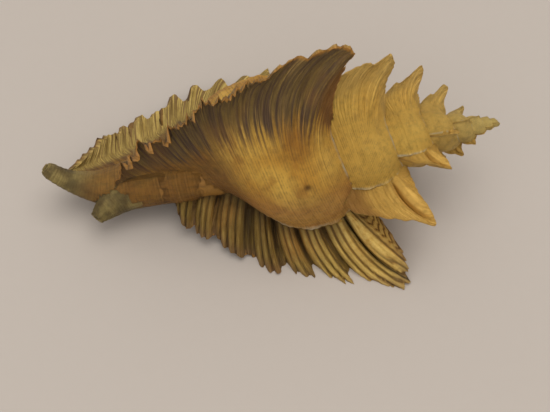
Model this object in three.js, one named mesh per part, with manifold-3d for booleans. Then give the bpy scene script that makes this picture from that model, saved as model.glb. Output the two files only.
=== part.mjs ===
// Murex shell: one coiled, three-winged sea-snail shell, about 59 mm long, lying on its wings.
// Millimetres, +Z up. +X runs from the siphonal canal to the apex.
//
// The shell grows by stages. Each stage is a wedge of whorl that ends in a varix: a thin wing
// with a long spine at the shoulder. Every stage repeats the last one at a slightly larger scale,
// so one profile, a spiral law and a list of how worn each wing is describe the whole shell.

import * as THREE from 'three';
import Module from 'manifold-3d';

// --- Driving dimensions -------------------------------------------------------------------
const TURN_GROWTH = 1.5;        // how much larger the shell gets in one turn
const STAGE_ANGLE = 110.5;      // degrees of growth from one varix to the next
const NEWEST_ANGLES = [0, -116, -240];   // where the last three varices really stopped
const LIP_CLOCK = 113.8;          // clock angle of the outer lip, seen from the apex, 0 is up
const STAGES = 25;
const APEX_GAP = 0.7;           // the spiral would only reach a point this far past the axis end
const SPIRE_DRAW = 1.6;         // the oldest whorls are drawn out along the axis by this much
const SPIRE_REACH = 5;

const FLARE_ANGLE = 38;         // a whorl starts to flare into its wing this many degrees early
const WALL = 1.1;               // thickness of wing and lip
const CANAL_BEND_START = 49;    // the canal is straight up to here, then curls
const CANAL_BEND_RADII = [11, 15];   // of the newest canal and of the one before it
const CANAL_CLOCKS = [24, 265];      // which way each of the two curls
const TUBE_RADIUS = 3.3;        // widest part of the closed tube around the canal
// The older canal is a thick horn that tapers off: [row of the profile, radius].
const HORN = [[5, 3.3], [8, 3.6], [9.5, 4.4], [11, 4.2], [12.5, 3.4], [14, 2.4], [16, 1.1]];
const HORN_EXTRA = 1.8;         // it runs on this far past the profile's end
const CANAL_BORE = 0.5;

const REST_PITCH = 9.9;       // the apex is carried this many degrees above level
const REST_SINK = 0.4;         // wing tips are rubbed flat by this much where they stand

// Wear of each wing, newest first. Old wings on the spire are short stubs.
const WING_SIZE = [
  0.93, 0.92, 1.08, 0.9, 0.84, 0.95, 0.8, 0.82, 0.85, 0.7, 0.85, 0.5, 0.5, 0.7, 0.35, 0.3, 0.35, 0.2,
];
const OLDEST_WING_SIZE = 0.1;
const LOBE_SIZE = [0.96, 1, 1.06];   // how full the canal half of each recent wing is
const LOBE_ROWS = [3.2, 4.4];

// The whorl's profile at full size, from the suture to the tip of the canal.
// [distance from apex, radius] on the whorl itself, then the same for the edge of the wing.
const PROFILE = [
  { whorl: [23.6, 5.2], wing: [24.2, 6.2] },     // suture
  { whorl: [24.3, 7.4], wing: [23.4, 8.8] },
  { whorl: [25.9, 9.5], wing: [22.6, 12.4] },
  { whorl: [28.2, 11.2], wing: [18.6, 23.6] },   // shoulder spine
  { whorl: [31.0, 12.0], wing: [23.8, 24.4] },
  { whorl: [34.0, 12.2], wing: [29.2, 22.6] },
  { whorl: [37.2, 11.3], wing: [34.6, 20.6] },
  { whorl: [40.0, 9.1], wing: [39.8, 18.4] },
  { whorl: [42.4, 6.6], wing: [44.0, 16.0] },
  { whorl: [45.2, 4.3], wing: [47.8, 13.4] },    // neck of the canal
  { whorl: [48.6, 3.0], wing: [51.4, 11.0] },
  { whorl: [52.0, 2.2], wing: [54.0, 7.8] },
  { whorl: [54.8, 1.55], wing: [55.8, 4.0] },
  { whorl: [57.0, 1.2], wing: [57.0, 1.35] },    // the wing dies out here
  { whorl: [59.4, 1.0], wing: [59.4, 1.05] },    // tip of the canal
];
const SHOULDER = 3;
const NECK = 9;
const OLD_STAGE_END = 8;        // older whorls are covered by the next one past this row
const OLD_WING_FADE = 6.5;
const FINGER_STAGE = 6;         // from here back, a wing is little more than its spine
const FINGER_FADE = [3.5, 6.2];
const FLATTENING = 0.08;        // the whorl is this much flatter half way between two wings

// The living chamber: an oval tube that winds back from the mouth.
const CHAMBER = { along: 33.4, out: 6.2, halfLength: 6.1, halfWidth: 3.8, turns: 0.7 };
const MOUTH_FLARE = 1.12;

// --- Spiral law ---------------------------------------------------------------------------
const deg = THREE.MathUtils.degToRad;
const scaleAt = (growth) => TURN_GROWTH ** (growth / 360);

const varixAngles = [...NEWEST_ANGLES];
while (varixAngles.length <= STAGES) {
  varixAngles.push(varixAngles[varixAngles.length - 1] - STAGE_ANGLE);
}

const spline = (pick) => new THREE.SplineCurve(PROFILE.map((row) => new THREE.Vector2(...pick(row))));
const whorlCurve = spline((row) => row.whorl);
const wingCurve = spline((row) => row.wing);

// Reads both curves at a row number, which may fall between two rows of the profile.
function profileAt(row, wingSize = 1) {
  const t = row / (PROFILE.length - 1);
  const whorl = whorlCurve.getPoint(t);
  const wing = whorl.clone().lerp(wingCurve.getPoint(t), wingSize);
  return { whorl, wing };
}

// Puts a point of stage `stage` in space. `along` and `out` are at full size; `growth` gives both
// the clock angle and the scale. Past the bend, the canal curls towards `CANAL_CLOCKS[stage]`.
function place(along, out, growth, stage, size = scaleAt(growth)) {
  const clock = deg(growth + LIP_CLOCK);
  let x = along * size;
  const radial = new THREE.Vector2(Math.sin(clock), Math.cos(clock)).multiplyScalar(out * size);
  const stageSize = scaleAt(varixAngles[stage]);
  const over = x - CANAL_BEND_START * stageSize;
  if (over > 0 && stage < CANAL_CLOCKS.length) {
    const bendRadius = CANAL_BEND_RADII[stage] * stageSize;
    const turn = over / bendRadius;
    const curl = deg(CANAL_CLOCKS[stage]);
    const towards = new THREE.Vector2(Math.sin(curl), Math.cos(curl));
    const depth = radial.dot(towards);
    const bentDepth = bendRadius * (1 - Math.cos(turn)) + depth * Math.cos(turn);
    x = CANAL_BEND_START * stageSize + (bendRadius - depth) * Math.sin(turn);
    radial.addScaledVector(towards, bentDepth - depth);
  }
  const drawnOut = SPIRE_DRAW * Math.exp(-Math.max(x, 0) / SPIRE_REACH);
  return new THREE.Vector3(drawnOut - x - APEX_GAP, radial.x, radial.y);
}

// --- Closed solids ------------------------------------------------------------------------
const wasm = await Module();
wasm.setup();

function solidFrom(points, triangles) {
  return new wasm.Manifold(new wasm.Mesh({
    numProp: 3,
    vertProperties: new Float32Array(points.flatMap((p) => [p.x, p.y, p.z])),
    triVerts: new Uint32Array(triangles.flat()),
  }));
}

// Skins a list of equal closed loops, with a fan over each end.
function skin(loops) {
  const count = loops[0].length;
  const points = loops.flat();
  const triangles = [];
  for (let row = 0; row + 1 < loops.length; row += 1) {
    for (let k = 0; k < count; k += 1) {
      const a = row * count + k;
      const b = row * count + ((k + 1) % count);
      triangles.push([a, b, b + count], [a, b + count, a + count]);
    }
  }
  for (const [start, flip] of [[0, true], [(loops.length - 1) * count, false]]) {
    const middle = points.length;
    const centre = new THREE.Vector3();
    for (let k = 0; k < count; k += 1) {
      centre.addScaledVector(points[start + k], 1 / count);
    }
    points.push(centre);
    for (let k = 0; k < count; k += 1) {
      const a = start + k;
      const b = start + ((k + 1) % count);
      triangles.push(flip ? [b, a, middle] : [a, b, middle]);
    }
  }
  const solid = solidFrom(points, triangles);
  return solid.volume() > 0 ? solid : solidFrom(points, triangles.map(([a, b, c]) => [a, c, b]));
}

function range(from, to, steps) {
  return Array.from({ length: steps + 1 }, (_, k) => from + ((to - from) * k) / steps);
}

// One stage of growth: a wedge from the axis out to the whorl, which flares into the wing.
function stageSolid(stage) {
  const isRecent = stage < 3;
  const lastRow = isRecent ? PROFILE.length - 1 : OLD_STAGE_END;
  const rows = range(0, lastRow, isRecent ? 28 : stage < 12 ? 11 : 6);
  const arcSteps = isRecent ? 6 : stage < 8 ? 5 : 3;
  const wingSteps = stage < 8 ? 4 : 2;
  const begin = varixAngles[stage + 1] - 2;
  const end = varixAngles[stage];
  const wear = WING_SIZE[stage] ?? OLDEST_WING_SIZE;

  const loops = rows.map((row, number) => {
    const fadeRows = stage < FINGER_STAGE ? [OLD_WING_FADE, OLD_STAGE_END] : FINGER_FADE;
    const fade = isRecent ? 1 : 1 - THREE.MathUtils.smoothstep(row, ...fadeRows);
    const full = THREE.MathUtils.lerp(
      1, LOBE_SIZE[stage] ?? 1, THREE.MathUtils.smoothstep(row, ...LOBE_ROWS));
    const { whorl, wing } = profileAt(row, wear * fade * full);
    if (isRecent && row > SHOULDER && row < NECK && number % 2) {
      wing.lerp(whorl, 0.07);      // scalloped margin
    }
    const height = whorl.distanceTo(wing);
    const flare = FLARE_ANGLE * Math.min(1, 0.35 + height / 9);
    const loop = [place(whorl.x, 0, end, stage)];
    for (const growth of range(begin, end - flare, arcSteps)) {
      const share = (growth - begin) / (end - begin);
      const radius = whorl.y * (1 - FLATTENING * Math.sin(Math.PI * share));
      loop.push(place(whorl.x, radius, growth, stage));
    }
    for (const t of range(0, 1, wingSteps).slice(1)) {
      const rise = 1 - Math.cos((t * Math.PI) / 2);
      const growth = end - flare * (1 - Math.sin((t * Math.PI) / 2));
      const share = (growth - begin) / (end - begin);
      const point = whorl.clone().lerp(wing, rise);
      point.y -= whorl.y * FLATTENING * Math.sin(Math.PI * share) * (1 - rise);
      loop.push(place(point.x, point.y, growth, stage));
    }
    const rim = new THREE.Vector2(whorl.x, whorl.y * 0.9);
    for (const t of range(1, 0, wingSteps - 1)) {
      const point = rim.clone().lerp(wing, t);
      const thickness = (WALL * (1.2 - 0.6 * t)) / Math.max(point.y, 1.2);
      const growth = end + THREE.MathUtils.radToDeg(thickness);
      loop.push(place(point.x, point.y, growth, stage, scaleAt(end)));
    }
    return loop;
  });
  return skin(loops);
}

// A round tube that follows a stage's canal. `out` shifts it off the canal's own centre line.
function canalTube(stage, fromRow, toRow, steps, sides, radiusOf) {
  const size = scaleAt(varixAngles[stage]);
  const loops = range(fromRow, toRow, steps).map((row) => {
    const { whorl } = profileAt(Math.min(row, PROFILE.length - 1));
    const beyond = Math.max(0, row - (PROFILE.length - 1));
    const radius = radiusOf(whorl, row);
    return range(0, 360, sides).slice(0, sides)
      .map((growth) => place(whorl.x + beyond, radius, growth, stage, size));
  });
  return skin(loops);
}

function hornRadius(whorl, row) {
  const next = HORN.findIndex(([at]) => at >= row);
  const [[row0, radius0], [row1, radius1]] = HORN.slice(Math.max(next, 1) - 1);
  return THREE.MathUtils.mapLinear(row, row0, row1, radius0, radius1);
}

// The hollow inside the last whorl, wound back from just outside the mouth.
function chamberSolid() {
  const first = 26;
  const loops = range(first, -360 * CHAMBER.turns, 20).map((growth) => {
    const widen = growth > 0 ? 1 + (MOUTH_FLARE - 1) * (growth / first) : 1;
    return range(0, 360, 12).slice(0, 12).map((angle) => place(
      CHAMBER.along + CHAMBER.halfLength * widen * Math.cos(deg(angle)),
      CHAMBER.out + CHAMBER.halfWidth * widen * Math.sin(deg(angle)),
      growth,
      STAGES,
    ));
  });
  return skin(loops);
}

// --- The shell ----------------------------------------------------------------------------
const additions = [];
for (let stage = 0; stage < STAGES; stage += 1) {
  additions.push(stageSolid(stage));
}
const tubeRadius = (whorl) => Math.min(whorl.y, TUBE_RADIUS);
additions.push(canalTube(0, 5, 14, 14, 10, tubeRadius));
additions.push(canalTube(1, 5, 14 + HORN_EXTRA, 16, 12, hornRadius));
let shell = wasm.Manifold.union(additions);

shell = shell.subtract(chamberSolid());
for (const [stage, extra] of [[0, 0], [1, HORN_EXTRA]]) {
  shell = shell.subtract(canalTube(stage, 12.5, 15 + extra, 8, 6, () => CANAL_BORE));
}

// Stand it on its wing tips, then rub the lowest points flat.
shell = shell.rotate([0, -REST_PITCH, 0]);
const box = shell.boundingBox();
shell = shell.translate([
  -(box.min[0] + box.max[0]) / 2,
  -(box.min[1] + box.max[1]) / 2,
  -box.min[2] - REST_SINK,
]);
shell = shell.trimByPlane([0, 0, 1], 0);

const pieces = shell.decompose().sort((a, b) => b.volume() - a.volume());
const mesh = pieces[0].getMesh();
const geometry = new THREE.BufferGeometry();
geometry.setAttribute('position', new THREE.Float32BufferAttribute(mesh.vertProperties, 3));
geometry.setIndex([...mesh.triVerts]);
geometry.computeVertexNormals();

const body = new THREE.Mesh(
  geometry,
  new THREE.MeshStandardMaterial({ color: 0xc9a26b, roughness: 0.6, metalness: 0 }),
);
body.name = 'shell';

const group = new THREE.Group();
group.name = 'murex_shell';
group.add(body);
export default group;
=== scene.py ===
"""Murex shell: the finished look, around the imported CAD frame.

The shell is grown again here with the same spiral law as the CAD solid, at a much finer
resolution: ribs, gutters, frills, cords and knobs are all in the mesh.  Lengths inside the growth
law are in millimetres; everything handed to Blender is in metres.
"""
import math

import bmesh
import bpy
import numpy as np
from mathutils import Matrix, Vector
from mathutils.kdtree import KDTree


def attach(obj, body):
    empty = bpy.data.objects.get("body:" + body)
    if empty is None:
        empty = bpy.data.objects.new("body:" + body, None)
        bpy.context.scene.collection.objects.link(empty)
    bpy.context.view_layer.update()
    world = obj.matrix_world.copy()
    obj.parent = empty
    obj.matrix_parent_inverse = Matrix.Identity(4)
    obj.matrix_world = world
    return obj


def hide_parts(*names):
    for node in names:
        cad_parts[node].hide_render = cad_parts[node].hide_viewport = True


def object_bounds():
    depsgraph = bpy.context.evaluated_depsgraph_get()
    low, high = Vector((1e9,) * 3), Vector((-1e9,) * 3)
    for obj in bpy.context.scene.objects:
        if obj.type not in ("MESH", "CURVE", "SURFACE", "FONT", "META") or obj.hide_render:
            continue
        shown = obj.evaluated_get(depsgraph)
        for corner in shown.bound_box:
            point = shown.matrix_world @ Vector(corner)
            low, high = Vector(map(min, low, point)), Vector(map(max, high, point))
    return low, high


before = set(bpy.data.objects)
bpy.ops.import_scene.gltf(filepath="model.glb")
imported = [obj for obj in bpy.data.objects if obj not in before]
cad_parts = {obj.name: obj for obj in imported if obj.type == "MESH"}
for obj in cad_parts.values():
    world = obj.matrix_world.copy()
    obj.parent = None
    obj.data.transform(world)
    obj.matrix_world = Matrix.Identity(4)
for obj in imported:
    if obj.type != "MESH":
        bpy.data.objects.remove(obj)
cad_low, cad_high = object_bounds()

MM = 0.001

# --- Spiral law, the same as the CAD solid's -------------------------------------------------
TURN_GROWTH = 1.5
STAGE_ANGLE = 110.5
NEWEST_ANGLES = [0.0, -116.0, -240.0]
LIP_CLOCK = 113.8
STAGES = 25
RECENT_STAGES = 3          # these have the full canal and the large wings
APEX_GAP = 0.7
SPIRE_DRAW = 1.6
SPIRE_REACH = 5.0
FLARE_ANGLE = 38.0
CANAL_BEND_START = 49.0
CANAL_BEND_RADII = [11.0, 15.0]
CANAL_CLOCKS = [24.0, 265.0]
TUBE_RADIUS = 3.3
HORN_ROWS = [5, 8, 9.5, 11, 12.5, 14, 16]
HORN_RADII = [3.3, 3.6, 4.0, 3.5, 2.6, 1.7, 0.9]
HORN_EXTRA = 1.8
CANAL_BORE = 0.5
TUBE_START_ROW = 5         # the canal tubes start well inside the whorl
BORE_START_ROW = 12.4
NECK_ROW = 8.5             # a tube that shows at the neck is coloured as this row
REST_PITCH = 9.9
WING_SIZE = [0.93, 0.92, 1.08, 0.9, 0.84, 0.95, 0.8, 0.82, 0.85,
             0.7, 0.85, 0.5, 0.5, 0.7, 0.35, 0.3, 0.35, 0.2]
OLDEST_WING_SIZE = 0.1
LOBE_SIZE = [0.96, 1.0, 1.06]
LOBE_FADE_ROWS = (3.2, 4.4)

# Distance from apex and radius, on the whorl and then at the edge of the wing.
PROFILE = np.array([
    [23.6, 5.2, 24.2, 6.2],      # suture
    [24.3, 7.4, 23.4, 8.8],
    [25.9, 9.5, 22.6, 12.4],
    [28.2, 11.2, 18.6, 23.6],    # shoulder spine
    [31.0, 12.0, 23.8, 24.4],
    [34.0, 12.2, 29.2, 22.6],
    [37.2, 11.3, 34.6, 20.6],
    [40.0, 9.1, 39.8, 18.4],
    [42.4, 6.6, 44.0, 16.0],
    [45.2, 4.3, 47.8, 13.4],     # neck of the canal
    [48.6, 3.0, 51.4, 11.0],
    [52.0, 2.2, 54.0, 7.8],
    [54.8, 1.55, 55.8, 4.0],
    [57.0, 1.2, 57.0, 1.35],     # the wing dies out here
    [59.4, 1.0, 59.4, 1.05],     # tip of the canal
])
LAST_ROW = len(PROFILE) - 1
SPINE_ROW = 3.0
OLD_STAGE_END = 8.0
OLD_WING_FADE = 6.5
FINGER_STAGE = 6
FINGER_FADE = (3.5, 6.2)
FLATTENING = 0.08
CHAMBER = {"along": 33.4, "out": 6.2, "half_length": 6.1, "half_width": 3.8, "turns": 0.7}
MOUTH_FLARE = 1.12

VARIX_ANGLES = list(NEWEST_ANGLES)
while len(VARIX_ANGLES) <= STAGES:
    VARIX_ANGLES.append(VARIX_ANGLES[-1] - STAGE_ANGLE)


def scale_at(growth):
    return TURN_GROWTH ** (np.asarray(growth, float) / 360.0)


def smoothstep(x, low, high):
    t = np.clip((np.asarray(x, float) - low) / (high - low), 0.0, 1.0)
    return t * t * (3.0 - 2.0 * t)


def bump(x, centre, width):
    return np.exp(-(((x - centre) / width) ** 2))


def profile_at(rows):
    """The profile at any row numbers, on a Catmull-Rom spline through PROFILE."""
    rows = np.clip(np.asarray(rows, float), 0.0, LAST_ROW - 1e-9)
    whole = rows.astype(int)
    t = (rows - whole)[..., None]
    p0, p1, p2, p3 = (PROFILE[np.clip(whole + k, 0, LAST_ROW)] for k in (-1, 0, 1, 2))
    # the end segments repeat their end point, as the CAD spline does
    return 0.5 * ((2 * p1) + (p2 - p0) * t + (2 * p0 - 5 * p1 + 4 * p2 - p3) * t ** 2
                  + (3 * p1 - p0 - 3 * p2 + p3) * t ** 3)


def place(along, out, growth, stage, size=None):
    """Points in the shell's own frame, apex at +X; along and out are at full size."""
    growth = np.asarray(growth, float)
    size = scale_at(growth) if size is None else size
    clock = np.radians(growth + LIP_CLOCK)
    x = along * size + 0.0 * clock
    y = out * size * np.sin(clock)
    z = out * size * np.cos(clock)
    if stage < len(CANAL_CLOCKS):
        stage_size = scale_at(VARIX_ANGLES[stage])
        radius = CANAL_BEND_RADII[stage] * stage_size
        start = CANAL_BEND_START * stage_size
        curl = math.radians(CANAL_CLOCKS[stage])
        over = np.maximum(x - start, 0.0)
        turn = over / radius
        depth = y * math.sin(curl) + z * math.cos(curl)
        bent = radius * (1 - np.cos(turn)) + depth * np.cos(turn)
        x = np.where(over > 0, start + (radius - depth) * np.sin(turn), x)
        y = y + np.where(over > 0, bent - depth, 0.0) * math.sin(curl)
        z = z + np.where(over > 0, bent - depth, 0.0) * math.cos(curl)
    drawn_out = SPIRE_DRAW * np.exp(-np.maximum(x, 0.0) / SPIRE_REACH)
    return np.stack([drawn_out - x - APEX_GAP, y, z], -1)


# --- Sculpture -------------------------------------------------------------------------------
RIBS_PER_ROW = 2.9
REAR_RIBS_PER_ROW = 6.2   # finer, on the flange behind the spine
FAN_RIBS = 8.0            # ribs crossed going up the flange
FAN_TEETH = 5.0           # and going along its edge, to a row
BOW = 0.42                # ribs and gutter bow this many rows towards the canal half way up
LOBE_ROWS = 1.3           # rows from one lobe of the wing's edge to the next
LOBE_STEP = 0.16          # share of a lobe taken by the step down to the next one
FAR_WING, TOP_WING, NEAR_WING = 0, 1, 2      # the three wings of the last whorl
SEAM_ROW = 1.12           # where a whorl comes out from under the one before it
PIT_ROW, PIT_SHARE = 3.75, 0.55
LAMELLA_SHARE = 0.075


def wobble(rows, seed, waves=5, low=1.0, high=6.0):
    """A smooth made-up unevenness along the rows, about -1 to 1, the same each run."""
    local = np.random.default_rng(seed)
    total = np.zeros_like(np.asarray(rows, float))
    for _ in range(waves):
        frequency = local.uniform(low, high)
        total += local.uniform(0.4, 1.0) * np.sin(frequency * rows + local.uniform(0, 6.28))
    return total / (0.55 * waves)


def bowed(rows, height):
    """The row whose rib passes through a point of the wing."""
    near_spine = smoothstep(rows, 2.5, 3.3) * (1 - 0.75 * smoothstep(rows, 4.2, 8.0))
    return rows - BOW * 4 * height * (1 - height) * near_spine


def rib_phase(rows, stage):
    ahead = RIBS_PER_ROW * np.maximum(rows - SPINE_ROW, 0.0)
    behind = REAR_RIBS_PER_ROW * np.minimum(rows - SPINE_ROW, 0.0)
    return 2 * math.pi * (ahead + behind) + 2.5 * wobble(rows, 100 + stage, low=1.5, high=4.5)


def rib_shape(rows, stage):
    """Broad round ribs at 1 with narrow grooves down to -1 between them."""
    return 1 - 2 * np.abs(np.sin(rib_phase(rows, stage) / 2)) ** 3.2


def rib_pattern(rows, height, stage):
    """Ribs that run up the wing; on the flange behind the gutter they fan out to its edge."""
    fan = FAN_RIBS * height + FAN_TEETH * (rows - SPINE_ROW) + 0.35 * wobble(rows, 120 + stage)
    across = 1 - 2 * np.abs(np.sin(math.pi * fan)) ** 2.4
    flange = 1 - smoothstep(rows, 2.42, 2.66)
    if stage == TOP_WING:
        flange = 0.0
    return rib_shape(rows, stage) * (1 - flange) + across * flange


def lobe_place(rows, stage):
    """Which lobe a row is on, and how far along that lobe it is, 0 to 1."""
    shifted = (rows - SPINE_ROW) / LOBE_ROWS + 0.16 * wobble(rows, 200 + stage, high=2.0)
    return np.floor(shifted), shifted - np.floor(shifted)


def lobe_wave(rows, stage):
    """1 at the crest of each lobe, falling slowly away from the spine, then a steep step up."""
    _, part = lobe_place(rows, stage)
    slope = 1 - LOBE_STEP
    return np.where(part < slope, 1 - 0.8 * part / slope, 0.2 + 0.8 * (part - slope) / LOBE_STEP)


def lobe_arch(rows, stage):
    """1 over the middle of each lobe, down to 0 in the sharp notches between lobes."""
    _, part = lobe_place(rows, stage)
    return 1 - np.abs(2 * part - 1) ** 3


def valley(rows, stage):
    """1 in the valleys between the lobes, about one rib wide; they are cut deeper, and the material
    paints shade in them.
    """
    _, part = lobe_place(rows, stage)
    return bump(np.minimum(part, 1 - part), 0, 0.15) * canal_half(rows)


def fingers(rows, stage):
    """Short points on the edge, two to a lobe and of unequal length."""
    shifted = 2 * ((rows - SPINE_ROW) / LOBE_ROWS + 0.10 * wobble(rows, 250 + stage, high=3.0))
    whole = np.round(shifted)
    length = 0.55 + 0.45 * np.sin(12.9 * whole + 4.1 * stage)
    return length * bump(shifted, whole, 0.24)


def canal_half(rows):
    """1 along the fan of the wing between its spine and the canal, 0 elsewhere."""
    return smoothstep(rows, 3.6, 4.6) * (1 - smoothstep(rows, 12.0, 13.2))


def edge_growth(rows, stage):
    """How far the wing's edge stands proud of the plain edge, as a share of the wing's height."""
    ribs = rib_pattern(rows, 1.0, stage)
    lobes = canal_half(rows) * (lobe_wave(rows, stage) - 0.5)
    edge = 0.012 * wobble(rows, 300 + stage, low=8, high=30) * smoothstep(rows, 0.5, 2.0)
    edge += 0.010 * wobble(rows, 350 + stage, low=40, high=90) * smoothstep(rows, 0.5, 2.0)
    if stage == FAR_WING:
        fringe = smoothstep(rows, 4.2, 5.0) * (1 - smoothstep(rows, 11.6, 12.8))
        uneven = 0.5 * fingers(rows, stage) + 0.35 * fingers(1.7 * rows + 0.4, stage)
        edge += 0.05 * lobes + fringe * (0.30 * uneven - 0.05 + 0.05 * wobble(rows, 340, high=9.0))
    elif stage == TOP_WING:
        edge += 0.09 * lobes + 0.015 * canal_half(rows) * ribs
        edge += 0.12 * bump(rows, 3.9, 0.55) - 0.07 * bump(rows, 9.0, 0.9)
        tatters = smoothstep(rows, 4.6, 5.4) * (1 - smoothstep(rows, 11.0, 12.0))
        edge += 0.05 * tatters * wobble(rows, 345, low=9, high=34)
        edge += 0.12 * bump(rows, 11.0, 0.5) - 0.11 * bump(rows, 2.68, 0.15)
    elif stage == NEAR_WING:
        edge += canal_half(rows) * (0.14 * (lobe_arch(rows, stage) - 0.85) - 0.05)
        edge += canal_half(rows) * (0.018 + 0.010 * wobble(rows, 320 + stage)) * ribs
        edge += 0.16 * bump(rows, 11.4, 0.6) - 0.08 * bump(rows, 9.6, 0.9)
        edge += 0.24 * bump(rows, 2.15, 0.40) - 0.11 * bump(rows, 2.95, 0.34)
        edge += 0.03 * wobble(rows, 325, low=10, high=26) * bump(rows, 3.2, 0.8)
        edge -= 0.09 * bump(rows, 3.75, 0.45)
    else:
        # spire fins: a finger-like spine with a hollow behind it
        slim = 1.0 if stage >= FINGER_STAGE else 0.4
        edge -= (0.14 + 0.20 * slim) * bump(rows, 2.40, 0.36) + 0.05 * bump(rows, SPINE_ROW, 0.30)
        edge -= (0.52 * slim - 0.18) * bump(rows, 4.0, 0.55)
        if stage % 3 == NEAR_WING:
            edge -= 0.20 * smoothstep(rows, 3.2, 4.2)
        edge += 0.06 * wobble(rows, 330 + stage, low=3, high=11) * smoothstep(rows, 1.0, 2.0)
    rear = smoothstep(rows, 0.6, 1.6) * (1 - smoothstep(rows, 2.5, 2.95))
    return edge + rear * 0.035 * ribs


def plate_offset(rows, height, stage):
    """How far the whole plate of the wing leans in the growth direction, in full-size mm."""
    lobes = lobe_wave(rows, stage) - 0.5
    if stage == NEAR_WING:
        wave = canal_half(rows) * (1.4 * height ** 1.2 * lobes
                                   + 0.16 * height ** 1.8 * rib_shape(rows, stage))
        wave = wave - 1.3 * valley(rows, stage) * smoothstep(height, 0.04, 0.3)
    elif stage < NEAR_WING:
        wave = canal_half(rows) * height ** 1.9 * 1.2 * lobes
    else:
        wave = canal_half(rows) * height ** 1.8 * 0.3 * lobes
    if stage == TOP_WING:
        # the edge is folded back into small scoops
        scoops = smoothstep(rows, 4.9, 5.6) * (1 - smoothstep(rows, 10.6, 11.6))
        fold = 0.4 + 2.2 * fingers(rows, stage) + 0.8 * wobble(rows, 360, low=12, high=40)
        wave = wave - scoops * smoothstep(height, 0.80, 1.0) * fold
    if stage == FAR_WING:
        # the fringe turns up to lie along the ground instead of digging into it
        wave = wave - 2.1 * smoothstep(height, 0.62, 1.05) * smoothstep(rows, 4.4, 6.6)
        wave = wave - 0.7 * smoothstep(height, 0.8, 1.0) * fingers(rows, stage)
    gutter = -1.0 * bump(rows, SPINE_ROW + 0.05, 0.20) * smoothstep(height, 0.02, 0.25)
    gutter = gutter * (1 - 0.8 * smoothstep(height, 0.70, 0.98))
    shoulder = 0.8 * bump(rows, 2.62, 0.22) + 0.5 * bump(rows, 3.48, 0.2)
    ridges = shoulder * smoothstep(height, 0.0, 0.2) * (1 - 0.4 * height)
    curl = 0.9 * bump(rows, 2.2, 0.6) * height ** 2
    waviness = 0.40 * height * wobble(rows + 0.6 * height, 370 + stage, low=1.5, high=4.0)
    return wave + gutter + ridges + curl + waviness


def front_relief(rows, height, stage):
    """Extra relief on the face of the wing that looks forward, in full-size mm."""
    rising = smoothstep(height, 0.02, 0.22)
    strength = rising * (1 - smoothstep(rows, 12.4, 13.6))
    near_spine = 1 - 0.9 * bump(rows, 3.05, 0.42) * (1 - 0.6 * smoothstep(height, 0.3, 0.8))
    unequal = 1 + 0.7 * wobble(rows, 380 + stage, low=2.0, high=9.0)
    depth = 0.22 if stage <= NEAR_WING else 0.10
    depth = depth * (1 - 0.45 * (1 - smoothstep(rows, 2.6, 3.2)))
    ribs = depth * strength * near_spine * unequal * rib_pattern(rows, height, stage)
    striae = 0.05 * strength * np.cos(2.7 * rib_phase(rows, stage))
    gaps = -1.5 * strength * valley(rows, stage) * (1 - 0.55 * height)
    gaps = gaps * (1 if stage <= NEAR_WING else 0.15)
    slit = -1.5 * bump(rows, 3.04, 0.045) * smoothstep(height, 0.03, 0.2)
    lips = (0.70 * bump(rows, 2.80, 0.15) + 0.60 * bump(rows, 3.30, 0.15)) * rising
    lips = lips * (1 - 0.75 * smoothstep(height, 0.30, 0.80))
    scales = 0.035 * np.sin(46 * height + 2.2 * wobble(rows, 390, low=2, high=7)) * strength
    return ribs + striae + gaps + slit + lips + scales


def back_relief(rows, height, stage):
    """Fine cords that fan up the back of the wing, in full-size mm."""
    cords = 0.055 * np.cos(2.6 * rib_phase(rows, stage)) + 0.04 * np.cos(rib_phase(rows, stage))
    return cords * smoothstep(height, 0.02, 0.25)


def whorl_relief(rows, share, stage):
    """Cords, knobs and growth lines on the whorl between two wings, in full-size mm."""
    along = profile_at(rows)[..., 0]
    body = smoothstep(rows, 1.2, 2.6)
    cords = 0.05 * np.cos(2 * math.pi * along / 1.15 + 0.4 * stage) * body
    broad_knob = 0.55 * bump(rows, 3.5, 0.9) * bump(share, 0.80, 0.13)
    knob = 0.80 * bump(rows, 3.9, 0.75) * bump(share, 0.53, 0.10)
    pit = -0.45 * bump(rows, PIT_ROW, 0.20) * bump(share, PIT_SHARE, 0.022)
    lines = 0.03 * np.sin(share * 95 + 2.0 * np.sin(rows * 1.3)) * body
    swell = 0.22 * wobble(share * 9 + 0.7 * rows, 400 + stage, low=0.6, high=1.6)
    ruffle = 0.22 + 0.20 * np.sin(share * 38 + 3 * np.sin(share * 17))
    frill = ruffle * bump(rows, SEAM_ROW, 0.14)
    # the thin lamella where the whorl starts on the face of the last wing
    frill = frill + (0.45 + 0.2 * wobble(rows, 430, high=5.0)) * bump(share, LAMELLA_SHARE, 0.02)
    return cords + broad_knob + knob + pit + lines + swell * body + frill


# --- Closed solids as numpy grids ------------------------------------------------------------
ATTRIBUTES = ("stage", "row", "height", "front", "rib", "share", "inside")


class Solid:
    """Points, faces and one value of each attribute per point, in the shell's frame."""

    def __init__(self, points, faces, values):
        self.points = points
        self.faces = faces
        self.values = values


def skin(grid, values):
    """A closed solid over a grid of loops, with a fan over each end."""
    rows, count = grid.shape[:2]
    points = grid.reshape(-1, 3)
    k = np.arange(count)
    k_next = (k + 1) % count
    quads = []
    for row in range(rows - 1):
        a = row * count
        quads.append(np.stack([a + k, a + k_next, a + count + k_next, a + count + k], 1))
    caps = []
    extra = []
    for start, flip in ((0, True), ((rows - 1) * count, False)):
        middle = len(points) + len(extra)
        extra.append(points[start:start + count].mean(0))
        fan = np.stack([start + k, start + k_next, np.full(count, middle)], 1)
        caps.append(fan[:, ::-1] if flip else fan)
    faces = [tuple(f) for f in np.concatenate(quads)] + [tuple(f) for f in np.concatenate(caps)]
    points = np.concatenate([points, np.array(extra)])
    values = {name: np.concatenate([np.broadcast_to(v, grid.shape[:2]).reshape(-1), [0, 0]])
              for name, v in values.items()}
    return Solid(points, faces, values)


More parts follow.
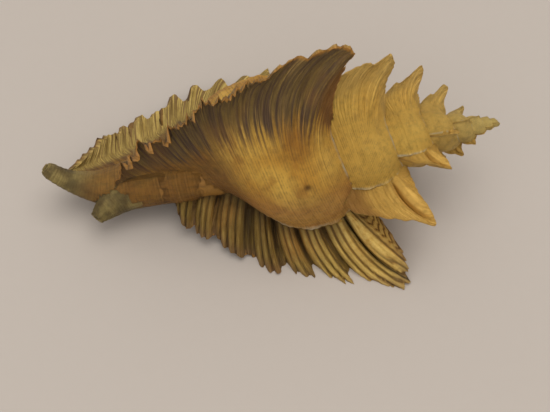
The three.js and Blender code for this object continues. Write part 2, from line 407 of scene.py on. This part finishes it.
def even_rows(first, last, count, dense_at=None, dense=0):
    rows = list(np.linspace(first, last, count))
    if dense_at is not None:
        rows += list(np.linspace(dense_at - 0.6, dense_at + 0.65, dense))
    return np.unique(np.round(rows, 5))


def stage_solid(stage, row_count, arc, rise, detail=1.0):
    """One stage of growth, from the last wing to its own, out from the axis."""
    recent = stage < RECENT_STAGES
    rows = even_rows(0.0, LAST_ROW if recent else OLD_STAGE_END, row_count,
                     SPINE_ROW if detail else None, row_count // 4)[:, None]
    wear = WING_SIZE[stage] if stage < len(WING_SIZE) else OLDEST_WING_SIZE
    fade_rows = (OLD_WING_FADE, OLD_STAGE_END) if stage < FINGER_STAGE else FINGER_FADE
    fade = 1.0 if recent else 1 - smoothstep(rows, *fade_rows)
    if stage < len(LOBE_SIZE):
        fade = fade * (1 + (LOBE_SIZE[stage] - 1) * smoothstep(rows, *LOBE_FADE_ROWS))
    whorl_x, whorl_r, wing_x, wing_r = np.moveaxis(profile_at(rows), -1, 0)
    wing_x = whorl_x + (wing_x - whorl_x) * wear * fade
    wing_r = whorl_r + (wing_r - whorl_r) * wear * fade
    height_mm = np.hypot(wing_x - whorl_x, wing_r - whorl_r)
    grow = 1 + detail * edge_growth(rows, stage)
    wing_x = whorl_x + (wing_x - whorl_x) * grow
    wing_r = whorl_r + (wing_r - whorl_r) * grow
    sculpt = detail * np.minimum(1.0, height_mm / 6.0)

    begin, end = VARIX_ANGLES[stage + 1] - 2.0, VARIX_ANGLES[stage]
    flare = FLARE_ANGLE * np.minimum(1.0, 0.35 + height_mm / 9.0)
    columns, marks = [], []

    def add(points, height, front, share, rib=0.0, row=rows):
        columns.append(points)
        marks.append((height, front, share, rib, row))

    # out from the axis to the whorl, on the face buried in the stage before
    inner = np.linspace(0, 1, 4)[:-1] if detail else [0.0]
    for t in inner:
        add(place(whorl_x, whorl_r * t, begin if t else end, stage), 0, 0, 0)
    # round the whorl
    for t in np.linspace(0, 1, arc):
        growth = begin + (end - flare - begin) * t
        share = (growth - begin) / (end - begin)
        radius = whorl_r * (1 - FLATTENING * np.sin(math.pi * share))
        radius = radius + detail * whorl_relief(rows, share, stage)
        add(place(whorl_x, np.maximum(radius, 0.3), growth, stage), 0 * rows, 0, share)
    # up the back of the wing
    for t in np.linspace(0, 1, rise + 1)[1:]:
        up, turn = 1 - math.cos(t * math.pi / 2), 1 - math.sin(t * math.pi / 2)
        growth = end - flare * turn
        share = (growth - begin) / (end - begin)
        x = whorl_x + (wing_x - whorl_x) * up
        r = whorl_r + (wing_r - whorl_r) * up
        r = r - whorl_r * FLATTENING * np.sin(math.pi * share) * (1 - up)
        r = r + detail * (1 - t) * whorl_relief(rows, share, stage)
        bow = bowed(rows, up)
        lean = sculpt * (plate_offset(bow, up, stage) - back_relief(bow, up, stage))
        growth = growth + np.degrees(lean / np.maximum(r, 3.0))
        add(place(x, r, growth, stage), up + 0 * rows, 0, share, rib_shape(bow, stage), bow)
    # down the front of the wing to the rim of the mouth
    rim_r = whorl_r * 0.9
    for t in np.linspace(1, 0, rise):
        x = whorl_x + (wing_x - whorl_x) * t
        r = rim_r + (wing_r - rim_r) * t
        thickness = 0.30 + 0.95 * (1 - t) ** 1.5 if detail else 1.1 * (1.2 - 0.6 * t)
        bow = bowed(rows, t)
        # never deeper than the plate is thick here
        behind = np.radians(flare * (1 - math.sqrt(2 * t - t * t))) * r
        relief = np.maximum(front_relief(bow, t, stage), -0.7 * (thickness + behind))
        lean = thickness + sculpt * (plate_offset(bow, t, stage) + relief)
        growth = end + np.degrees(lean / np.maximum(r, 1.2))
        # the rib value with the lobe valleys pushed low: the material paints shade in its grooves
        # and a highlight on its crests
        groove = np.minimum(rib_pattern(bow, t, stage),
                            1 - 2.6 * valley(bow, stage) * (1 - 0.4 * t))
        add(place(x, r, growth, stage, scale_at(end)), t + 0 * rows, 1, 1, groove, bow)
    # back to the axis
    for t in (inner[::-1][:-1] if detail else []):
        add(place(whorl_x, rim_r * t, end + 3.0, stage, scale_at(end)), 0, 1, 1)

    grid = np.stack([np.broadcast_to(c, (len(rows), 1, 3))[:, 0] for c in columns], 1)
    stack = np.stack([[np.broadcast_to(np.asarray(v, float), (len(rows), 1))[:, 0] for v in m]
                      for m in marks])
    height, front, share, rib, row = (stack[:, k].T for k in range(5))
    return skin(grid, {
        "stage": float(stage), "row": row, "height": height, "front": front,
        "rib": rib, "share": share, "inside": 0.0,
    })


def canal_tube(stage, first, last, rings, sides, radius_of):
    """A round tube along a stage's canal; rows past the last one run on past its tip."""
    rows = np.linspace(first, last, rings)[:, None]
    whorl = profile_at(rows)
    along = whorl[..., 0] + np.maximum(rows - LAST_ROW, 0.0)
    growth = np.linspace(0, 360, sides, endpoint=False)[None, :]
    radius = radius_of(whorl[..., 1], rows, growth)
    grid = place(along, radius, growth, stage, scale_at(VARIX_ANGLES[stage]))
    return skin(grid, {
        "stage": float(stage), "row": np.maximum(rows, NECK_ROW), "height": 0.0, "front": 0.0,
        "rib": 0.0, "share": 1.0, "inside": 0.0,
    })


def chamber_solid(loops=70, sides=64):
    first = 26.0
    growth = np.linspace(first, -360 * CHAMBER["turns"], loops)[:, None]
    angle = np.radians(np.linspace(0, 360, sides, endpoint=False))[None, :]
    widen = 1 + (MOUTH_FLARE - 1) * np.clip(growth / first, 0, 1)
    grid = place(CHAMBER["along"] + CHAMBER["half_length"] * widen * np.cos(angle),
                 CHAMBER["out"] + CHAMBER["half_width"] * widen * np.sin(angle),
                 growth, STAGES)
    return skin(grid, {
        "stage": 0.0, "row": 5.0, "height": 0.0, "front": 0.0,
        "rib": 0.0, "share": 0.5, "inside": 1.0,
    })


# --- Joining ---------------------------------------------------------------------------------
WELD_GAP = 1e-6           # metres
SLIVER_POINTS = 12        # a loose bit with fewer points than this is a sliver


def to_object(solid, name):
    mesh = bpy.data.meshes.new(name)
    mesh.from_pydata((solid.points * MM).tolist(), [], solid.faces)
    mesh.update()
    ob = bpy.data.objects.new(name, mesh)
    bpy.context.scene.collection.objects.link(ob)
    work = bmesh.new()
    work.from_mesh(mesh)
    if work.calc_volume(signed=True) < 0:
        bmesh.ops.reverse_faces(work, faces=work.faces)
    bmesh.ops.triangulate(work, faces=work.faces)
    work.to_mesh(mesh)
    work.free()
    return ob


def combine(target, other, operation):
    """Joins another solid to the target, or cuts it away, and deletes the other."""
    modifier = target.modifiers.new("join", "BOOLEAN")
    modifier.operation = operation
    modifier.solver = "MANIFOLD"
    modifier.object = other
    evaluated = target.evaluated_get(bpy.context.evaluated_depsgraph_get())
    joined = bpy.data.meshes.new_from_object(evaluated)
    target.modifiers.clear()
    old = target.data
    target.data = joined
    bpy.data.meshes.remove(old)
    mesh = other.data
    bpy.data.objects.remove(other)
    bpy.data.meshes.remove(mesh)


def drop_slivers(mesh):
    """Welds doubled points and deletes the loose slivers that the joins can leave."""
    work = bmesh.new()
    work.from_mesh(mesh)
    bmesh.ops.remove_doubles(work, verts=work.verts, dist=WELD_GAP)
    seen = set()
    loose = []
    for first in work.verts:
        if first in seen:
            continue
        seen.add(first)
        island = [first]
        for vert in island:
            for edge in vert.link_edges:
                other = edge.other_vert(vert)
                if other not in seen:
                    seen.add(other)
                    island.append(other)
        if len(island) < SLIVER_POINTS:
            loose += island
    bmesh.ops.delete(work, geom=loose, context="VERTS")
    work.to_mesh(mesh)
    work.free()


# Radius functions for canal_tube: each takes the whorl's radius, the row and the angle round.
def tube_radius(radius, rows, growth):
    cords = 0.05 * np.cos(np.radians(growth) * 7) * smoothstep(rows, 9.0, 10.5)
    rings = 0.03 * np.sin(rows * 21)
    worn = -0.28 * smoothstep(rows, LAST_ROW - 0.35, LAST_ROW)
    return np.minimum(radius, TUBE_RADIUS) + cords + rings + worn


def horn_radius(radius, rows, growth):
    cords = 0.07 * np.cos(np.radians(growth) * 9) + 0.05 * wobble(rows, 420, low=4, high=14)
    return np.interp(rows, HORN_ROWS, HORN_RADII) + cords


def plain_tube_radius(radius, rows, growth):
    return np.minimum(radius, TUBE_RADIUS) + 0 * growth


def bore_radius(radius, rows, growth):
    return CANAL_BORE + 0 * radius + 0 * growth


# Up to which stage, then rows, steps round the whorl and steps up the wing.
FINENESS = [(RECENT_STAGES, 200, 44, 26), (8, 76, 26, 14), (13, 40, 14, 9), (STAGES, 18, 9, 5)]

solids = []
for stage in range(STAGES):
    steps = next(level[1:] for level in FINENESS if stage < level[0])
    solids.append(stage_solid(stage, *steps))
canal_end = LAST_ROW
horn_end = LAST_ROW + HORN_EXTRA
solids.append(canal_tube(0, TUBE_START_ROW, canal_end, 60, 28, tube_radius))
solids.append(canal_tube(1, TUBE_START_ROW, horn_end, 70, 28, horn_radius))
cutters = [chamber_solid()]
cutters.append(canal_tube(0, BORE_START_ROW, canal_end + 1, 12, 16, bore_radius))
cutters.append(canal_tube(1, BORE_START_ROW, horn_end + 1, 16, 16, bore_radius))

shell = to_object(solids[0], "shell_body")
for solid in solids[1:]:
    combine(shell, to_object(solid, "part"), "UNION")
for solid in cutters:
    combine(shell, to_object(solid, "cut"), "DIFFERENCE")

# --- Stand it as the CAD solid stands --------------------------------------------------------
pitch = math.radians(REST_PITCH)


def pitched(p):
    return np.stack([p[:, 0] * math.cos(pitch) - p[:, 2] * math.sin(pitch), p[:, 1],
                     p[:, 0] * math.sin(pitch) + p[:, 2] * math.cos(pitch)], -1)


# a plain copy of the stages that reach the CAD solid's box, to line the two up. Its own box is
# 0.70 mm higher and 0.57 mm wider, so the visual model lands 0.70 mm low and 0.29 mm to -y
PLAIN_STAGES = 9
plain = [stage_solid(stage, 29, 7, 4, detail=0.0).points for stage in range(PLAIN_STAGES)]
plain.append(stage_solid(STAGES - 1, 7, 4, 2, detail=0.0).points)
plain.append(canal_tube(0, TUBE_START_ROW, canal_end, 15, 10, plain_tube_radius).points)
plain = pitched(np.concatenate(plain)) * MM
shift = np.array([
    (cad_low.x + cad_high.x) / 2 - (plain[:, 0].min() + plain[:, 0].max()) / 2,
    (cad_low.y + cad_high.y) / 2 - (plain[:, 1].min() + plain[:, 1].max()) / 2,
    cad_high.z - plain[:, 2].max(),
])
stand = Matrix.Translation(shift) @ Matrix.Rotation(-pitch, 4, "Y")

# what would reach into the ground is ground off flat
GROUND_HALF = 0.06
GROUND_DEPTH = 0.02
corners = np.array([(x, y, z) for x in (-1, 1) for y in (-1, 1) for z in (-1, 1)], float)
ground = bpy.data.meshes.new("ground")
ground.from_pydata(
    [stand.inverted() @ Vector((x * GROUND_HALF, y * GROUND_HALF,
                                cad_low.z + (z - 1) * GROUND_DEPTH / 2))
     for x, y, z in corners], [],
    [(0, 1, 3, 2), (4, 6, 7, 5), (0, 4, 5, 1), (2, 3, 7, 6), (0, 2, 6, 4), (1, 5, 7, 3)])
ground_block = bpy.data.objects.new("ground", ground)
bpy.context.scene.collection.objects.link(ground_block)
combine(shell, ground_block, "DIFFERENCE")
drop_slivers(shell.data)

# --- Growth attributes, for the material -----------------------------------------------------
source_points = np.concatenate([s.points for s in solids + cutters]) * MM
source_values = {name: np.concatenate([s.values[name] for s in solids + cutters])
                 for name in ATTRIBUTES}
tree = KDTree(len(source_points))
for index, point in enumerate(source_points):
    tree.insert(point, index)
tree.balance()
mesh = shell.data
nearest = np.array([tree.find(v.co)[1] for v in mesh.vertices])
for name in ATTRIBUTES:
    layer = mesh.attributes.new("shell_" + name, "FLOAT", "POINT")
    layer.data.foreach_set("value", source_values[name][nearest].astype(np.float32))
mesh.transform(stand)
mesh.update()
SHARP_DEGREES = 52
mesh.shade_smooth()
mesh.set_sharp_from_angle(angle=math.radians(SHARP_DEGREES))

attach(shell, "root")
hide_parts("shell")


# --- Material --------------------------------------------------------------------------------
def colour(red, green, blue):
    """A colour given as 0-255 display values, turned into the linear values Blender uses."""
    out = []
    for value in (red, green, blue):
        value /= 255
        out.append(value / 12.92 if value <= 0.04045 else ((value + 0.055) / 1.055) ** 2.4)
    return (*out, 1.0)


OCHRE = colour(204, 150, 56)
GOLD = colour(224, 178, 78)
BROWN = colour(164, 108, 36)
ROSE = colour(184, 128, 72)
# sandy tone of the older stages, also used for a painted highlight on the newest whorl
SAND = colour(226, 182, 84)
APEX_WHITE = colour(232, 204, 122)
NECK_TAN = colour(128, 86, 36)
# dark streaks on the neck, and painted shade in the pit on the knob
NECK_DARK_AND_PIT_SHADE = colour(76, 50, 24)
CANAL_OLIVE = colour(156, 136, 80)
CANAL_DARK = colour(108, 92, 54)
SLATE = colour(66, 52, 42)
PURPLE = colour(84, 62, 58)
OLIVE = colour(110, 90, 46)
FLAX = colour(164, 132, 76)
RUST = colour(132, 86, 40)
AMBER = colour(176, 122, 50)
FIN_SAND = colour(198, 160, 86)
FIN_GREY = colour(144, 120, 74)
FIN_ORANGE = colour(216, 168, 78)
FRINGE = colour(196, 168, 92)
FRINGE_DARK = colour(128, 100, 56)
RIB_OLIVE = colour(142, 110, 44)
RIB_TAN = colour(172, 124, 52)
# pale streaks on the wing's face, and a painted highlight on the rib crests
RIB_PALE_AND_HIGHLIGHT = colour(214, 180, 96)
RIB_ROSE = colour(112, 78, 54)
# dark brown for the face towards the canal, and painted shade in the grooves and at the foot of the
# face
DARK_BROWN_AND_SHADE = colour(42, 28, 12)
PALE_BAND = colour(226, 192, 108)
# painted shade for the slit of the gutter
GUTTER_SHADE = colour(38, 26, 14)
SEAM = colour(206, 196, 166)
MOUTH = colour(214, 202, 178)
SPECK = colour(96, 66, 36)


class Nodes:
    """Short calls that add and link shader nodes."""

    def __init__(self, material):
        material.use_nodes = True
        self.tree = material.node_tree
        self.tree.nodes.clear()

    def add(self, kind, inputs=None, **settings):
        node = self.tree.nodes.new(kind)
        for name, value in settings.items():
            setattr(node, name, value)
        for name, value in (inputs or {}).items():
            if isinstance(value, bpy.types.NodeSocket):
                self.tree.links.new(value, node.inputs[name])
            else:
                node.inputs[name].default_value = value
        return node

    def attribute(self, name):
        return self.add("ShaderNodeAttribute", attribute_name="shell_" + name).outputs["Fac"]

    def math(self, operation, a, b=0.0, c=0.0):
        return self.add("ShaderNodeMath", {0: a, 1: b, 2: c}, operation=operation).outputs[0]

    def ramp(self, value, low, high):
        return self.add("ShaderNodeMapRange", {"Value": value, "From Min": low, "From Max": high},
                        interpolation_type="SMOOTHSTEP").outputs[0]

    def mix(self, factor, first, second, blend="MIX"):
        node = self.add("ShaderNodeMix", data_type="RGBA", blend_type=blend)
        for socket, value in ((0, factor), (6, first), (7, second)):
            if isinstance(value, bpy.types.NodeSocket):
                self.tree.links.new(value, node.inputs[socket])
            else:
                node.inputs[socket].default_value = value
        return node.outputs[2]

    def noise(self, where, size_mm, detail=3.0, roughness=0.55):
        return self.add("ShaderNodeTexNoise", {
            "Vector": where, "Scale": 1000.0 / size_mm, "Detail": detail, "Roughness": roughness,
        }).outputs["Fac"]


def shell_material():
    material = bpy.data.materials.new("shell")
    n = Nodes(material)
    where = n.add("ShaderNodeTexCoord").outputs["Object"]
    stage, row, height, front, rib, share, inside = (n.attribute(a) for a in ATTRIBUTES)
    broad = n.noise(where, 9.0, 2.0)
    medium = n.noise(where, 3.0, 4.0)
    fine = n.noise(where, 0.8, 4.0, 0.65)

    def both(a, b):
        return n.math("MULTIPLY", a, b)

    def less(value, low, high):
        return n.math("SUBTRACT", 1.0, n.ramp(value, low, high))

    def hump(value, centre, half_width):
        return both(n.ramp(value, centre - half_width, centre),
                    less(value, centre, centre + half_width))

    def streaks(row_scale, height_scale, low, high):
        """Streaks that run up the wing, from its foot to its edge."""
        where = n.add("ShaderNodeCombineXYZ", {
            "X": both(row, row_scale), "Y": both(height, height_scale), "Z": stage})
        noise = n.add("ShaderNodeTexNoise", {
            "Vector": where.outputs[0], "Scale": 1.0, "Detail": 4.0, "Roughness": 0.6})
        return n.ramp(noise.outputs["Fac"], low, high)

    # whorls: ochre with brown clouds, rosy low on the side, paler towards the spire
    base = n.mix(n.ramp(broad, 0.40, 0.60), OCHRE, GOLD)
    base = n.mix(both(n.ramp(medium, 0.46, 0.66), 0.60), base, BROWN)
    low_side = both(hump(stage, 1.0, 0.9), less(share, 0.30, 0.62))
    base = n.mix(both(low_side, 0.60), base, ROSE)
    cloud = both(hump(row, 3.6, 1.3), hump(share, 0.84, 0.17))
    base = n.mix(both(cloud, 0.65), base, BROWN)
    # painted highlight: a pale patch high on the side of the newest whorl
    bright = both(hump(row, 2.0, 1.6), both(hump(share, 0.66, 0.3), less(stage, 1.2, 2.0)))
    base = n.mix(both(bright, 0.7), base, SAND)
    # painted shade in the small pit on the knob
    pit = both(hump(row, PIT_ROW, 0.34), hump(share, PIT_SHARE, 0.035))
    base = n.mix(both(pit, 0.8), base, NECK_DARK_AND_PIT_SHADE)
    base = n.mix(both(n.ramp(stage, 1.6, 3.4), 0.70), base, SAND)
    base = n.mix(both(n.ramp(stage, 6.0, 18.0), 0.75), base, APEX_WHITE)
    along_neck = n.add("ShaderNodeMapping", {
        "Vector": where, "Scale": (0.22, 1.0, 1.0)}).outputs[0]
    neck = n.mix(both(n.ramp(n.noise(along_neck, 0.55, 4.0), 0.35, 0.75), 0.8), NECK_TAN, NECK_DARK_AND_PIT_SHADE)
    base = n.mix(both(n.ramp(row, 5.8, 8.2), 0.85), base, neck)
    tube = n.mix(n.ramp(medium, 0.40, 0.62), CANAL_OLIVE, CANAL_DARK)
    base = n.mix(n.ramp(row, 10.6, 12.4), base, tube)

    thread = n.ramp(n.math("SINE", both(row, 47.0)), -0.2, 1.0)
    base = n.mix(both(both(thread, n.ramp(fine, 0.35, 0.6)), 0.28), base, SPECK)

    # backs of the wings: slate and olive streaks on the newest, sandy on the older ones
    newer = less(stage, 1.2, 3.2)
    coarse = streaks(9.0, 1.2, 0.36, 0.64)
    thin = streaks(34.0, 1.6, 0.42, 0.62)
    back = n.mix(coarse, SLATE, OLIVE)
    back = n.mix(both(thin, 0.45), back, n.mix(coarse, PURPLE, FLAX))
    back = n.mix(both(n.ramp(broad, 0.46, 0.62), 0.35), back, RUST)
    back = n.mix(both(less(row, 2.45, 2.9), 0.80), back, RUST)
    edge_noise = n.math("MULTIPLY_ADD", medium, 0.12, height)
    back = n.mix(both(n.ramp(edge_noise, 1.01, 1.05), 0.85), back, AMBER)
    foot = n.math("MULTIPLY_ADD", coarse, -0.20, height)
    foot = n.math("MULTIPLY_ADD", n.ramp(row, 6.0, 9.0), -0.10, foot)
    dark = both(n.ramp(foot, -0.10, 0.26), newer)
    base = n.mix(both(dark, 0.94), base, back)
    older = n.mix(both(thin, 0.5), FIN_SAND, FIN_GREY)
    base = n.mix(both(both(n.ramp(height, 0.25, 0.8), n.ramp(stage, 2.0, 3.2)), 0.7), base, older)
    fringe = both(less(stage, 0.2, 0.8), n.ramp(height, 0.30, 0.55))
    base = n.mix(both(fringe, 0.92), base, n.mix(thin, FRINGE, FRINGE_DARK))

    # fronts of the wings: olive-tan ribs, a painted highlight on the rib crests, painted shade in
    # the grooves, in the gutter and at the foot of the face, a pale band either side of the gutter
    face = n.mix(n.ramp(broad, 0.38, 0.62), RIB_OLIVE, RIB_TAN)
    face = n.mix(both(thin, 0.35), face, RIB_PALE_AND_HIGHLIGHT)
    # painted highlight on the rib crests, stronger towards the spine
    crest = both(n.ramp(rib, 0.2, 0.9), n.ramp(medium, 0.40, 0.60))
    lit = n.math("MULTIPLY_ADD", less(row, 4.6, 6.6), 0.5, 0.4)
    face = n.mix(both(crest, lit), face, RIB_PALE_AND_HIGHLIGHT)
    # more painted highlight on the rib crests near the spine
    crest_highlight_near_spine = both(less(row, 4.4, 5.8), n.ramp(rib, -0.4, 0.5))
    face = n.mix(both(crest_highlight_near_spine, 0.75), face, RIB_PALE_AND_HIGHLIGHT)
    face = n.mix(both(n.ramp(row, 5.0, 7.0), 0.30), face, DARK_BROWN_AND_SHADE)
    face = n.mix(both(less(row, 2.3, 2.9), 0.5), face, RIB_TAN)
    face = n.mix(both(n.ramp(height, 0.74, 1.0), 0.55), face, RIB_ROSE)
    # painted shade in the grooves between the ribs and in the valleys between the lobes
    face = n.mix(both(less(rib, -1.0, 0.0), 0.70), face, DARK_BROWN_AND_SHADE)
    # painted shade at the foot of the wing's face, where it meets the whorl
    face = n.mix(both(less(height, 0.05, 0.50), 0.65), face, DARK_BROWN_AND_SHADE)
    pale = n.math("ADD", both(hump(row, 3.32, 0.28), 0.6), hump(row, 2.78, 0.22))
    band = n.mix(n.ramp(fine, 0.4, 0.65), PALE_BAND, FIN_ORANGE)
    pale = both(pale, n.math("MULTIPLY_ADD", less(height, 0.30, 0.80), 0.8, 0.2))
    face = n.mix(both(pale, 0.85), face, band)
    # painted shade down the slit of the gutter
    face = n.mix(both(hump(row, 3.04, 0.07), 0.92), face, GUTTER_SHADE)
    face = n.mix(both(n.ramp(stage, 2.5, 5.0), 0.75), face, FIN_ORANGE)
    face = n.mix(both(both(n.ramp(stage, 3.5, 4.5), n.ramp(row, 4.4, 6.0)), 0.7), face, RUST)
    base = n.mix(both(front, n.ramp(height, 0.0, 0.08)), base, face)

    # suture: a thin whitish lamella
    lamella = both(hump(share, LAMELLA_SHARE, 0.035), less(row, 6.0, 8.0))
    seam = n.math("MAXIMUM", hump(row, SEAM_ROW, 0.24), lamella)
    seam = both(both(seam, less(height, 0.1, 0.4)), n.ramp(medium, 0.30, 0.60))
    base = n.mix(both(seam, 0.75), base, SEAM)
    # mouth: smooth and pale
    base = n.mix(inside, base, MOUTH)
    # dirt and fine speckle
    base = n.mix(both(n.ramp(fine, 0.45, 0.80), 0.30), base, SPECK)

    threads = n.math("SINE", both(row, 31.0))
    relief = n.math("MULTIPLY_ADD", threads, 0.35, both(fine, 1.3))
    relief = n.math("MULTIPLY_ADD", thin, 0.8, relief)
    relief = both(relief, n.math("SUBTRACT", 1.0, inside))
    bump_node = n.add("ShaderNodeBump", {"Height": relief, "Strength": 0.8, "Distance": 0.00016})
    rough = n.math("MULTIPLY_ADD", medium, 0.25, 0.45)
    rough = n.math("SUBTRACT", rough, both(inside, 0.25))
    shader = n.add("ShaderNodeBsdfPrincipled", {
        "Base Color": base, "Roughness": rough, "Normal": bump_node.outputs["Normal"],
        "Specular IOR Level": 0.28,
    })
    out = n.add("ShaderNodeOutputMaterial")
    n.tree.links.new(shader.outputs["BSDF"], out.inputs["Surface"])
    return material


mesh.materials.clear()
mesh.materials.append(shell_material())

# --- Floor, light and camera -----------------------------------------------------------------
FLOOR_HALF = 1.5
FLOOR_GAP = 0.00005       # keeps the floor off the flats the shell stands on
FLOOR_COLOUR = colour(182, 172, 162)
FLOOR_GRAIN = colour(150, 140, 130)
FLOOR_ROUGHNESS = 0.85
# Place, size across in metres, power in watts and tint of each light.
KEY_LIGHT = ((0.04, 0.03, 0.50), 0.42, 1.10, (1.0, 0.98, 0.95))
FILL_LIGHT = ((-0.14, -0.24, 0.42), 0.60, 0.70, (0.98, 0.98, 1.0))
WORLD_TINT = (1.0, 0.98, 0.96, 1.0)
WORLD_STRENGTH = 0.62
SENSOR_WIDTH = 36
NEAREST_SEEN = 0.01


def plain_material(name, base, roughness):
    material = bpy.data.materials.new(name)
    n = Nodes(material)
    where = n.add("ShaderNodeTexCoord").outputs["Object"]
    grain = n.noise(where, 1.5, 3.0)
    tint = n.mix(n.math("MULTIPLY", grain, 0.06), base, FLOOR_GRAIN)
    shader = n.add("ShaderNodeBsdfPrincipled", {"Base Color": tint, "Roughness": roughness})
    out = n.add("ShaderNodeOutputMaterial")
    n.tree.links.new(shader.outputs["BSDF"], out.inputs["Surface"])
    return material


floor_mesh = bpy.data.meshes.new("floor")
floor_mesh.from_pydata([(x * FLOOR_HALF, y * FLOOR_HALF, 0)
                        for x, y in ((-1, -1), (1, -1), (1, 1), (-1, 1))],
                       [], [(0, 1, 2, 3)])
floor = bpy.data.objects.new("floor", floor_mesh)
floor.location.z = cad_low.z - FLOOR_GAP
floor_mesh.materials.append(plain_material("floor", FLOOR_COLOUR, FLOOR_ROUGHNESS))
bpy.context.scene.collection.objects.link(floor)


def area_light(name, target, position, size, watts, tint):
    data = bpy.data.lights.new(name, "AREA")
    data.shape = "DISK"
    data.size = size
    data.energy = watts
    data.color = tint
    ob = bpy.data.objects.new(name, data)
    ob.location = position
    ob.rotation_euler = (Vector(target) - Vector(position)).to_track_quat("-Z", "Y").to_euler()
    bpy.context.scene.collection.objects.link(ob)


middle = (cad_low + cad_high) / 2
area_light("key", middle, *KEY_LIGHT)
area_light("fill", middle, *FILL_LIGHT)
world = bpy.data.worlds.new("world")
world.use_nodes = True
background = world.node_tree.nodes["Background"]
background.inputs["Color"].default_value = WORLD_TINT
background.inputs["Strength"].default_value = WORLD_STRENGTH
bpy.context.scene.world = world
bpy.context.scene.view_settings.view_transform = "Standard"

VIEW_AZIMUTH, VIEW_ELEVATION, VIEW_ROLL = -9.25, 58.51, -3.65
VIEW_DISTANCE = 0.14569
VIEW_SLIDE = (-0.00078, 0.01182)
VIEW_FOCAL = 1166.0 / 550        # of the image's width
azimuth, elevation = math.radians(VIEW_AZIMUTH), math.radians(VIEW_ELEVATION)
back = Vector((math.sin(azimuth) * math.cos(elevation),
               -math.cos(azimuth) * math.cos(elevation), math.sin(elevation)))
right = Vector((math.cos(azimuth), math.sin(azimuth), 0))
turn = Matrix.Rotation(math.radians(-VIEW_ROLL), 3, back)
right = turn @ right
up = back.cross(right)
camera_data = bpy.data.cameras.new("camera")
camera = bpy.data.objects.new("camera", camera_data)
camera_data.sensor_width = SENSOR_WIDTH
camera_data.lens = SENSOR_WIDTH * VIEW_FOCAL
camera_data.clip_start = NEAREST_SEEN
eye = middle - VIEW_SLIDE[0] * right - VIEW_SLIDE[1] * up + VIEW_DISTANCE * back
camera.matrix_world = Matrix.Translation(eye) @ Matrix((right, up, back)).transposed().to_4x4()
bpy.context.scene.collection.objects.link(camera)
bpy.context.scene.camera = camera
